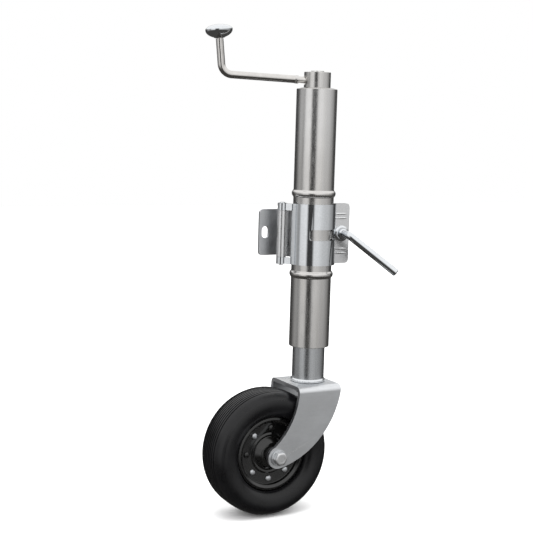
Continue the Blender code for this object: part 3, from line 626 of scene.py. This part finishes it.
def make_hub():
    """The hub with its countersunk hole for the arm, its cross pin and the disc on top."""
    low, high = heights("crank_hub")
    body = turned(rounded([(8.3, low), (HUB_R, low, 0.6), (HUB_R, high, 0.9), (8.3, high)]), MAST, 128)
    hole = [(0, 5), (ARM_NECK_R + 0.35, 5), (ARM_NECK_R + 0.35, 15.6), (ARM_NECK_R + 2.2, 19.4),
            (ARM_NECK_R + 2.2, 40), (0, 40)]
    hub = combined(body, ("DIFFERENCE", turned(hole, ARM_FRAME, 64, closed=False)),
                   ("DIFFERENCE", rod(2.8, -40, -5, ARM_FRAME)))
    finish("crank_hub", hub)
    finish("hub_cross_pin", rod(2.5, -19.3, 7.5, ARM_FRAME, 0.4))
    low, high = heights("hub_top_disc")
    disc = rounded([(0, low), (9.5, low), (9.5, high, 0.5), (2.6, high, 0.2), (1.6, high - 0.7),
                    (0, high - 0.7)])
    finish("hub_top_disc", turned(disc, MAST, 96, closed=False))


def make_arm():
    """The bent arm, its ferrule at the hub and the snap ring that keeps the knob on its neck."""
    start = ARM_CORNER - ARM * ARM_LENGTH
    stations = [(start + ARM * 8.7, ARM_NECK_R), (start + ARM * 31, ARM_NECK_R), (start + ARM * 31.3, ARM_R)]
    stations += [(point, ARM_R) for point in bend(ARM_CORNER, ARM, STEM, ARM_BEND_R)]
    neck_r, groove_r = 4.0, 3.2
    steps = ((50.0, ARM_R), (50.3, neck_r), (58.3, neck_r), (58.35, groove_r), (59.65, groove_r),
             (59.7, neck_r), (65.2, neck_r), (65.7, 3.5))
    stations += [(ARM_CORNER + STEM * distance, radius) for distance, radius in steps]
    repaint(finish("crank_arm", swept(stations)), drawn_rod())
    profile = rounded([(ARM_NECK_R + 0.1, 28.8), (6.1, 28.8, 0.9), (6.15, 32, 0.9), (5.75, 33, 0.3),
                       (5.95, 33.8, 0.4), (5.7, 34.6, 0.3), (ARM_NECK_R + 0.1, 34.6)])
    finish("arm_ferrule", turned(profile, ARM_FRAME, 64))
    finish("knob_snap_ring", ring(3.5, 5.1, 58.5, 59.5, STEM_FRAME, 0.2, 48))


def make_knob():
    """A mushroom: a low dome over a deeper underside, bored for the arm's neck and snap ring."""
    bore, ring_bore = 4.4, 5.6
    middle = 62.6
    angles = [math.radians(4 * i) for i in range(22)]
    dome = [(KNOB_R * math.sin(t), middle + 7.7 * math.cos(t)) for t in angles]
    under = [(KNOB_R * math.cos(t), middle - 11.6 * math.sin(t)) for t in angles[:17]]
    inside = [(7.6, 51.3), (6.8, 50.9), (bore, 50.9), (bore, 58), (ring_bore, 58), (ring_bore, 60),
              (bore, 60), (bore, 66.3), (0, 66.3)]
    finish("knob", turned(dome + under + inside, STEM_FRAME, 128, closed=False))


# Column

def make_column():
    """The inner tube, and the plug in its foot whose pin the fork swivels on."""
    low, high = heights("inner_tube")
    tube = [(INNER_BORE_R, low), (INNER_R, low), (INNER_R, high, 0.4), (INNER_BORE_R, high, 0.4)]
    finish("inner_tube", turned(rounded(tube), MAST, 160))
    foot = heights("swivel_plug")[0]
    base = heights("fork")[1] + 0.35
    collar_r, spigot_r = 25.7, INNER_BORE_R - 0.4
    profile = [(0, foot), (KINGPIN_R, foot, 1), (KINGPIN_R, base), (collar_r, base, 0.9),
               (collar_r, base + 2.8, 1.4), (INNER_R + 0.05, base + 5), (spigot_r, base + 5),
               (spigot_r, base + 27, 1), (0, base + 27)]
    plug = turned(rounded(profile, 6), MAST, 192, closed=False)
    ripple(plug, INNER_R + 0.2, base + 0.8)
    finish("swivel_plug", plug)
    low, high = heights("swivel_washer")
    finish("swivel_washer", ring(KINGPIN_BORE_R, 19.5, low, high, MAST, 0.5))
    low, high = heights("swivel_nut")
    nut = combined(chamfered_hex(32, low, high, MAST),
                   ("DIFFERENCE", rod(KINGPIN_BORE_R, low - 5, high + 5, MAST)))
    finish("swivel_nut", nut, 0.25, limit=25)


def ripple(bm, beyond, above):
    """Uneven weld ripples round the collar's outside."""
    for v in bm.verts:
        x, y = v.co.x - MAST_X, v.co.y - MAST_Y
        r, a = math.hypot(x, y), math.atan2(y, x)
        if r > beyond and v.co.z > above:
            push = 0.16 * math.sin(41 * a + 2 * math.sin(5 * a)) + 0.12 * math.sin(17 * a + 1)
            v.co.x += push * x / r
            v.co.y += push * y / r
            v.co.z += 0.12 * math.sin(29 * a)


# Fork

def make_fork():
    """One plate bent down over the wheel on both sides: its bent section, cut to the legs' outline."""
    low, high = box("fork")
    top, rear, front = high.z, low.x, high.x
    plate_rear = MAST_X - 38.2
    half, inner, inner_r = FORK_HALF, FORK_HALF - FORK_THICK, FORK_BEND_R - FORK_THICK
    centre = half - FORK_BEND_R
    bend_z = top - FORK_BEND_R
    outline = [(half, low.z - 5)] + arc((centre, bend_z), FORK_BEND_R, 0, 90, 14)
    outline += arc((-centre, bend_z), FORK_BEND_R, 90, 180, 14) + [(-half, low.z - 5), (-inner, low.z - 5)]
    outline += arc((-centre, bend_z), inner_r, 180, 90, 8) + arc((centre, bend_z), inner_r, 90, 0, 8)
    outline += [(inner, low.z - 5)]
    axle = pivot("wheel_spin")
    end_r = 16.5
    shoulder = top - 8
    rear_curve = arc_through((plate_rear, shoulder), (plate_rear - 11.8, top - 51),
                             (axle.x - 5.6, axle.z + 15.6), 28)
    tip = arc((axle.x, axle.z), end_r, 112, 283, 36)
    front_curve = arc_through((axle.x + 4.1, axle.z - 16), (5.8, top - 70.3), (front, top - 6.3), 40)
    side = [(plate_rear, top + 1)] + rear_curve + tip[1:-1] + front_curve + [(front, top + 1)]
    fork = combined(prism(outline, rear - 5, front + 5, MAST @ FROM_SIDE),
                    ("INTERSECT", prism(side, -60 - MAST_Y, 60 - MAST_Y, FROM_FRONT)),
                    ("DIFFERENCE", rod(KINGPIN_BORE_R, top - 20, top + 20, MAST)),
                    ("DIFFERENCE", rod(AXLE_R + 0.4, -60, 60, AXLE)))
    finish("fork", fork, 1.0, limit=50)


SIDES = {"near": -1, "far": 1}


def side_ring(stem, side, inner, outer, start, end, edge):
    """A ring round the axle, between two distances from the wheel's middle on one side."""
    low, high = sorted((SIDES[side] * start, SIDES[side] * end))
    finish(f"{stem}_{side}", ring(inner, outer, low, high, AXLE, edge))


def make_axle():
    """The wheel's bolt with its dished head, its lock nut, and the washers and spacers."""
    face = FORK_HALF + GAP
    seat = face + 2.3
    head = chamfered_hex(17.5, -seat - 7.9, -seat, AXLE, high_edge=False, face=0.82)
    end = seat + 13
    shank = [(0, -seat - 2), (AXLE_R, -seat - 2), (AXLE_R, seat - 8)]
    shank += threads(seat - 8, end - 1.2, AXLE_R, AXLE_R - 0.75, AXLE_PITCH)
    shank += [(AXLE_R - 1, end), (0, end)]
    dish = [(0, -seat - 7.6), (4.9, -seat - 7.6), (5.3, -seat - 9), (0, -seat - 9)]
    bolt = combined(head, ("UNION", turned(shank, AXLE, 64, closed=False)),
                    ("DIFFERENCE", turned(dish, AXLE, 64, closed=False)))
    finish("axle_bolt", bolt, 0.2, limit=40, segments=2)
    collar = rounded([(AXLE_BORE_R, seat + 5), (8.4, seat + 5), (8.4, seat + 10, 1.4), (6.6, seat + 10, 0.5),
                      (AXLE_BORE_R, seat + 9)])
    nut = combined(chamfered_hex(18, seat, seat + 7.6, AXLE),
                   ("DIFFERENCE", rod(AXLE_BORE_R, 40, 70, AXLE)), ("UNION", turned(collar, AXLE, 96)))
    finish("axle_nut", nut, 0.2, limit=40, segments=2)
    for side in SIDES:
        side_ring("axle_washer", side, AXLE_BORE_R, 12, face, face + 2, 0.5)
        side_ring("axle_spacer", side, AXLE_BORE_R, 10.5, HUB_TUBE_HALF + GAP,
                  FORK_HALF - FORK_THICK - GAP, 0.5)


# Wheel

TYRE_R = pivot("wheel_spin").z - GROUND
TREAD_HALF = 20
GROOVE_PITCH = 5.0
GROOVE_HALF = 0.9
GROOVE_DEPTH = 1.8
SIDE_LINE_R = 83.5               # a moulded line round the side wall


def crown(y):
    """The tread's radius at a distance from the wheel's middle."""
    return TYRE_R - 1.741e-4 * abs(y) ** 3


def make_tyre():
    """The side wall with its moulded line, then the grooved tread, then the other side wall."""
    side = smooth([(48.8, -16), (55.7, -19.6), (56.3, -24), (58.8, -28), (64.3, -32), (71.8, -34.5),
                   (79.4, -34.6), (85.4, -32), (89.7, -26.5),
                   (crown(TREAD_HALF + 1.2), -TREAD_HALF - 1.2)], 6)
    below = [(r, y) for r, y in side if r < SIDE_LINE_R]
    line_r, line_y = below[-1]
    above = [(r, y) for r, y in side if r > line_r + 1.6]
    side = below + [(line_r + 0.1, line_y - 0.35), (line_r + 1.0, line_y - 0.1)] + above
    start = -TREAD_HALF + 0.3
    tread = [(crown(start), start)]
    for i in range(round(2 * TREAD_HALF / GROOVE_PITCH)):
        y = -TREAD_HALF + (i + 0.5) * GROOVE_PITCH
        tread += [(crown(y), y - GROOVE_HALF - 0.35), (crown(y) - GROOVE_DEPTH, y - GROOVE_HALF),
                  (crown(y) - GROOVE_DEPTH, y + GROOVE_HALF), (crown(y), y + GROOVE_HALF + 0.35)]
        tread += [(crown(y + GROOVE_PITCH / 2), y + GROOVE_PITCH / 2)]
    profile = side + tread[:-1] + [(r, -y) for r, y in reversed(side)]
    finish("tyre", turned(profile, AXLE, 200), sharp=50)


def make_rims():
    """Two pressed rim halves, the tube that joins them and its bushes."""
    section = [(48.5, 0.3), (48.5, 16.2, 1.2), (51, 20.2, 1), (54.4, 20.4, 0.8), (55, 22.4, 1.2),
               (51.2, 23.3, 1.4), (47.4, 20.6, 1), (46.4, 16.8, 1.2), (31, 16.2, 0.8), (28.4, 17.8, 0.9),
               (25.4, 16.8, 1.5), (18, 24.8, 2.5), (13.3, 26.2, 0.5), (13.3, 23.8, 0.3), (16.8, 22.4, 1.5),
               (24.6, 13.9, 2), (46, 13.7), (46, 0.3)]
    for side, sign in SIDES.items():
        finish("rim_" + side, turned([(r, sign * y) for r, y in rounded(section, 5)], AXLE, 160))
    finish("wheel_hub_tube", ring(10.2, 13, -HUB_TUBE_HALF, HUB_TUBE_HALF, AXLE, 0.6))
    for side in SIDES:
        side_ring("hub_bush", side, AXLE_BORE_R, 9.9, 9, HUB_TUBE_HALF, 0.4)


def make_rivets():
    """Rivets through both rim halves, domed at both ends."""
    face, head = 17.0, 19.5
    half = [(0, -head)] + smooth([(2.2, -head + 0.12), (3.8, -head + 0.75), (4.7, -head + 1.8)], 4)
    half += [(4.8, -face), (3, -face)]
    profile = half + [(r, -z) for r, z in reversed(half)]
    for i in range(1, 9):
        node = f"rim_rivet_{i}"
        low, high = box(node)
        centre = (low + high) / 2
        place = frame_along(Vector((centre.x, AXLE.translation.y, centre.z)), axis("wheel_spin"))
        finish(node, turned(profile, place, 40, closed=False))


# Clamp

def saddle(start, end):
    """A jaw's curved band round the tube, between two angles."""
    centre = (MAST_X, MAST_Y)
    return arc(centre, SADDLE_R, start, end, 60) + arc(centre, SADDLE_R + CLAMP_THICK, end, start, 60)


def make_base():
    """The plate that bolts to the drawbar, with its two upright slots."""
    low, high = box("clamp_base_plate")
    plate = prism(rounded_box(low.x, low.z, high.x, high.z, 6.5), 0, CLAMP_THICK, FROM_FRONT)
    steps = [("DIFFERENCE", prism(stadium(x, 0, *BOLT_SLOT), -5, 10, FROM_FRONT))
             for x in (-BOLT_SLOT_X, BOLT_SLOT_X)]
    finish("clamp_base_plate", combined(plate, *steps), 0.4, limit=50)


def make_rear_jaw():
    """The fixed jaw: its saddle, flange, knuckle and two feet on the plate; its nut and hinge pin."""
    z0, z1 = -BASE_HALF, BASE_HALF
    front = MAST_Y + PARTING
    hy = pivot("jaw_swing").y
    foot = -CLAMP_THICK - GAP
    flange = [(31, front), (60, front), (60, front + CLAMP_THICK), (31, front + CLAMP_THICK)]
    link = [(-45, hy - 3), (-31.6, hy - 5), (-30.6, hy), (-45, hy + 3)]
    steps = [("UNION", prism(flange, z0, z1, FROM_ABOVE)), ("UNION", rod(HINGE_KNUCKLE_R, z0, z1, HINGE)),
             ("UNION", prism(link, z0 + 0.4, z1 - 0.4, FROM_ABOVE))]
    for side in (-1, 1):
        pad = [(side * 6, foot), (side * 20, foot), (side * 21, foot - 9), (side * 6, foot - 2.5)]
        steps.append(("UNION", prism(pad, z0 + 1, z1 - 1, FROM_ABOVE)))
    steps += [("DIFFERENCE", rod(HINGE_BORE_R, -100, 100, HINGE)),
              ("DIFFERENCE", rod(SCREW_R + 1, -10, 2, SCREW))]
    jaw = combined(prism(saddle(6, 174), z0, z1, FROM_ABOVE), *steps)
    finish("clamp_rear_jaw", jaw, 0.4, limit=50, segments=2)
    back = PARTING + CLAMP_THICK + GAP
    nut = combined(chamfered_hex(19, -back - 10, -back, SCREW, high_edge=False),
                   ("DIFFERENCE", rod(5.7, -30, 0, SCREW)))
    finish("clamp_weld_nut", nut, 0.2, limit=40, segments=2)
    low, high = heights("clamp_hinge_pin")
    pin = rounded([(0, low), (4, low, 1.2), (4, high, 1.2), (0, high)])
    finish("clamp_hinge_pin", turned(pin, HINGE, 64, closed=False))


def make_front_jaw():
    """The jaw that swings: a windowed saddle, a ribbed flange and a knuckle at each end of the hinge."""
    z0, z1 = -JAW_HALF, JAW_HALF
    back = MAST_Y - PARTING
    hy = pivot("jaw_swing").y
    flange = rounded([(31, z0), (60, z0, 7), (60, z1, 7), (31, z1)], 8)
    strip = [(-38, back), (-31, back), (-31, back - CLAMP_THICK), (-38, back - CLAMP_THICK)]
    steps = [("UNION", prism(flange, -back, -back + CLAMP_THICK, FROM_FRONT)),
             ("UNION", prism(strip, z0 + 0.5, z1 - 0.5, FROM_ABOVE))]
    arm = [(-33, back), (-33, back - CLAMP_THICK), (-44, hy - 6.6), (-47, hy - 4), (-44, hy - 1)]
    past_knuckle = BASE_HALF + GAP
    for low, high in ((z0, -past_knuckle), (past_knuckle, z1)):
        steps += [("UNION", prism(arm, low + 0.2, high - 0.2, FROM_ABOVE)),
                  ("UNION", rod(HINGE_KNUCKLE_R, low, high, HINGE))]
    face = back - CLAMP_THICK + 0.4
    for z in (-29.5, -23, 23, 29.5):
        rib = [(Vector((34.6, face, z)), 0.5), (Vector((38, face, z)), 1.5), (Vector((50, face, z)), 1.5),
               (Vector((56, face, z)), 0.5)]
        steps.append(("UNION", swept(rib, 20)))
    steps += [("DIFFERENCE", rod(HINGE_BORE_R, -100, 100, HINGE)),
              ("DIFFERENCE", prism(rounded_box(-21, -8, 21, 8, 4), -MAST_Y + 10, 90, FROM_FRONT)),
              ("DIFFERENCE", rod(SCREW_R + 0.8, 1, 12, SCREW))]
    saddle_end = 0.0352
    jaw = finish("clamp_front_jaw", combined(prism(saddle(186, 354), z0, z1, FROM_ABOVE), *steps), 0.4,
                 limit=50, segments=2)
    jaw.data.materials.append(FINISHES["zinc_plate"])
    for polygon in jaw.data.polygons:
        if polygon.center.x > saddle_end:
            polygon.material_index = 1


def make_screw():
    """The clamp's screw, bent into its own lever, and the dished washer under its shoulder."""
    seat = PARTING + CLAMP_THICK + GAP
    washer = rounded([(5.6, seat + 1.4), (9, seat + 1.2, 1), (11.8, seat, 0.2), (12, seat + 1.2, 0.4),
                      (9.4, seat + 2.8, 2), (5.6, seat + 3.2, 0.4)])
    finish("clamp_washer", turned(washer, SCREW, 96))
    root, out = pivot("screw_turn"), axis("screw_turn")
    corner = root + out * 27
    handle = Vector((math.cos(LEVER_DROP) * math.cos(LEVER_OUT), -math.sin(LEVER_OUT),
                     -math.sin(LEVER_DROP) * math.cos(LEVER_OUT)))
    shoulder = PARTING + CLAMP_THICK + 3.9
    stations = [(root + out * (shoulder + 0.1), 6.6), (root + out * (shoulder + 0.7), 7.4),
                (root + out * (shoulder + 3), 7.4), (root + out * (shoulder + 4.4), LEVER_R)]
    stations += [(point, LEVER_R) for point in bend(corner, out, handle, 11)]
    stations += [(corner + handle * 90.6, LEVER_R), (corner + handle * 92, LEVER_R - 1.3)]
    tip = -20
    screw = [(0, tip), (4.1, tip)] + threads(tip + 0.8, shoulder - 0.6, 5.4, 4.55, SCREW_PITCH)
    screw += [(4.6, shoulder - 0.2), (4.6, shoulder + 2), (0, shoulder + 2)]
    lever = combined(swept(stations, 48), ("UNION", turned(screw, SCREW, 48, closed=False)))
    finish("clamp_lever", lever)


# Inside pieces

def mast_ring(node, inner, outer, edge):
    """A ring round the mast's axis, as high as its node."""
    low, high = heights(node)
    finish(node, ring(inner, outer, low, high, MAST, edge))


def make_inside():
    """The pieces inside the tubes, the screw-cut spindle among them."""
    mast_ring("guide_bush", INNER_R + 0.35, SLIDE_R, 0.5)
    mast_ring("upper_guide_ring", INNER_R + 0.3, SLIDE_R, 0.5)
    mast_ring("thrust_race_upper", 9, 20, 0.6)
    mast_ring("thrust_race_lower", 9, 20, 0.6)
    low, high = heights("spindle")
    collar = heights("thrust_race_lower")[0] - GAP
    profile = [(0, low), (5.5, low), (6.2, low + 1), (SPINDLE_R, low + 1.5), (SPINDLE_R, low + 14)]
    profile += threads(low + 14, collar - 16, SPINDLE_R, 6.2, SPINDLE_PITCH)
    profile += [(SPINDLE_R, collar - 12), (SPINDLE_R, collar - 6.5), (14, collar - 6.5), (14, collar),
                (SPINDLE_R, collar), (SPINDLE_R, high), (0, high)]
    stop = frame_along(Vector((MAST_X, MAST_Y, low + 5.5)), Vector((1, 0, 0)))
    spindle = combined(turned(profile, MAST, 64, closed=False), ("DIFFERENCE", rod(2.3, -20, 20, stop)),
                       ("DIFFERENCE", rod(2.8, -30, 30, ARM_FRAME)))
    finish("spindle", spindle)
    finish("spindle_stop_pin", rod(2, -11, 11, stop, 0.4))
    mast_ring("spindle_stop_washer", SPINDLE_R + GAP, 13, 0.4)
    low, high = heights("spindle_nut")
    bore, spigot, flange = SPINDLE_R + GAP, INNER_BORE_R - 0.4, high - 2.7
    profile = rounded([(bore, low, 0.5), (spigot, low, 0.5), (spigot, flange), (INNER_R, flange),
                       (INNER_R, high, 0.5), (bore, high, 0.5)])
    finish("spindle_nut", turned(profile, MAST, 96))


def cover_inner_nodes():
    """CAD nodes that keep their own mesh get their slot's material."""
    for name, obj in frame["nodes"].items():
        if not obj.hide_render:
            repaint(obj, FINISHES[SLOT_OF[name]])


# Stage

CAMERA_AZIMUTH = math.radians(-30.8)
CAMERA_DISTANCE = 1.7103
CAMERA_HEIGHT = 0.5710
CAMERA_PITCH = math.radians(6.85)
CAMERA_HEADING = math.radians(2.24)
CAMERA_ROLL = math.radians(1.62)
CAMERA_LENS = 77.8


def make_camera():
    """A camera that looks at the jack from the front left and slightly down."""
    ground = GROUND / 1000
    data = bpy.data.cameras.new("camera")
    data.lens = CAMERA_LENS
    data.sensor_width = 36
    camera = bpy.data.objects.new("camera", data)
    bpy.context.scene.collection.objects.link(camera)
    place = Vector((math.sin(CAMERA_AZIMUTH) * CAMERA_DISTANCE,
                    MAST_Y / 1000 - math.cos(CAMERA_AZIMUTH) * CAMERA_DISTANCE, ground + CAMERA_HEIGHT))
    heading = CAMERA_AZIMUTH + CAMERA_HEADING
    level = Vector((-math.sin(heading), math.cos(heading), 0))
    forward = level * math.cos(CAMERA_PITCH) - UP * math.sin(CAMERA_PITCH)
    right = forward.cross(UP).normalized()
    up = right.cross(forward)
    across = right * math.cos(CAMERA_ROLL) + up * math.sin(CAMERA_ROLL)
    over = up * math.cos(CAMERA_ROLL) - right * math.sin(CAMERA_ROLL)
    turn = Matrix((across, over, -forward)).transposed()
    camera.matrix_world = Matrix.Translation(place) @ turn.to_4x4()
    bpy.context.scene.camera = camera


# The studio's walls, as (degrees to the right of the main viewpoint, brightness)
WALLS = ((-180, 0.07), (-130, 0.06), (-121, 0.10), (-108, 0.30), (-98, 0.50), (-84, 0.52), (-76, 0.40),
         (-68, 0.42), (-60, 0.95), (-30, 1.10), (-21, 0.05), (2, 0.05), (11, 1.00), (30, 1.02), (48, 0.84),
         (60, 0.74), (84, 0.66), (95, 0.50), (112, 0.36), (124, 0.07), (180, 0.06))
CEILING = 1.25
SOFT_LIGHT = 1.7                 # what matte surfaces receive from above
FLOOR_GLOW = 0.07
LAMP_PLACE = Vector((-0.3, -0.5, 1.7))


def make_world():
    """Studio walls as upright light and dark panels, a bright ceiling and a dim floor."""
    world = bpy.data.worlds.new("studio")
    bpy.context.scene.world = world
    world.use_nodes = True
    tree = world.node_tree
    tree.nodes.clear()

    def node(kind, inputs=(), **settings):
        return add_node(tree, kind, inputs, settings)

    coords = node("ShaderNodeTexCoord").outputs["Generated"]
    to_front = math.radians(90) - CAMERA_AZIMUTH
    turned_round = node("ShaderNodeVectorRotate", {"Vector": coords, "Angle": to_front},
                        rotation_type="Z_AXIS")
    parts = node("ShaderNodeSeparateXYZ", {"Vector": turned_round.outputs["Vector"]})
    angle = node("ShaderNodeMath", {0: parts.outputs["Y"], 1: parts.outputs["X"]}, operation="ARCTAN2")
    share = node("ShaderNodeMapRange", {"Value": angle.outputs[0], "From Min": -math.pi,
                                        "From Max": math.pi})
    walls = node("ShaderNodeValToRGB", {"Fac": share.outputs["Result"]})
    set_stops(walls.color_ramp, [((degrees + 180) / 360, grey(value)) for degrees, value in WALLS])
    rise = node("ShaderNodeMapRange", {"Value": parts.outputs["Z"], "From Min": 0.10, "From Max": 0.45},
                interpolation_type="SMOOTHSTEP")
    fall = node("ShaderNodeMapRange", {"Value": parts.outputs["Z"], "From Min": -0.03, "From Max": -0.48},
                interpolation_type="SMOOTHSTEP")
    upper = node("ShaderNodeMix", {0: rise.outputs["Result"], 6: walls.outputs["Color"],
                                   7: (CEILING, CEILING, CEILING, 1)}, data_type="RGBA")
    floor_colour = (*grey(FLOOR_GLOW, (1, 0.97, 0.92)), 1)
    lower = node("ShaderNodeMix", {0: fall.outputs["Result"], 6: upper.outputs[2], 7: floor_colour},
                 data_type="RGBA")
    path = node("ShaderNodeLightPath")
    glow = node("ShaderNodeMix", {0: rise.outputs["Result"], 6: (0.8, 0.8, 0.8, 1),
                                  7: (SOFT_LIGHT, SOFT_LIGHT, SOFT_LIGHT, 1)}, data_type="RGBA")
    lit = node("ShaderNodeMix", {0: path.outputs["Is Diffuse Ray"], 6: lower.outputs[2], 7: glow.outputs[2]},
               data_type="RGBA")
    shown = node("ShaderNodeMix", {0: path.outputs["Is Camera Ray"], 6: lit.outputs[2], 7: (1, 1, 1, 1)},
                 data_type="RGBA")
    background = node("ShaderNodeBackground", {"Color": shown.outputs[2], "Strength": 1.0})
    output = node("ShaderNodeOutputWorld")
    tree.links.new(background.outputs["Background"], output.inputs["Surface"])


def make_floor():
    """A plain white floor at the height where the wheel stands."""
    bm = bmesh.new()
    bmesh.ops.create_grid(bm, x_segments=1, y_segments=1, size=6)
    bmesh.ops.translate(bm, verts=bm.verts, vec=(0, 0, GROUND / 1000))
    floor = as_object("floor", bm)
    f = Finish("white_floor", 0.0)
    colour = f.ramp(f.noise(400, 2), (0.3, grey(0.93)), (0.7, grey(0.96)))
    floor.data.materials.append(f.done(colour, f.range(f.noise(60, 2), 0.75, 0.85)))
    floor.visible_glossy = False


def make_light():
    """A softbox over the object, aimed at the frame's origin."""
    data = bpy.data.lights.new("overhead_softbox", "AREA")
    data.shape = "RECTANGLE"
    data.size, data.size_y = 1.6, 1.2
    data.energy = 22
    lamp = bpy.data.objects.new("overhead_softbox", data)
    lamp.visible_glossy = False
    lamp.location = LAMP_PLACE
    lamp.rotation_euler = LAMP_PLACE.to_track_quat("Z", "Y").to_euler()
    bpy.context.scene.collection.objects.link(lamp)


make_tube()
make_cap()
make_hub()
make_arm()
make_knob()
make_column()
make_fork()
make_axle()
make_tyre()
make_rims()
make_rivets()
make_base()
make_rear_jaw()
make_front_jaw()
make_screw()
make_inside()
cover_inner_nodes()

make_world()
make_floor()
make_light()
make_camera()
bpy.context.scene.view_settings.view_transform = "Standard"

bpy.context.view_layer.update()
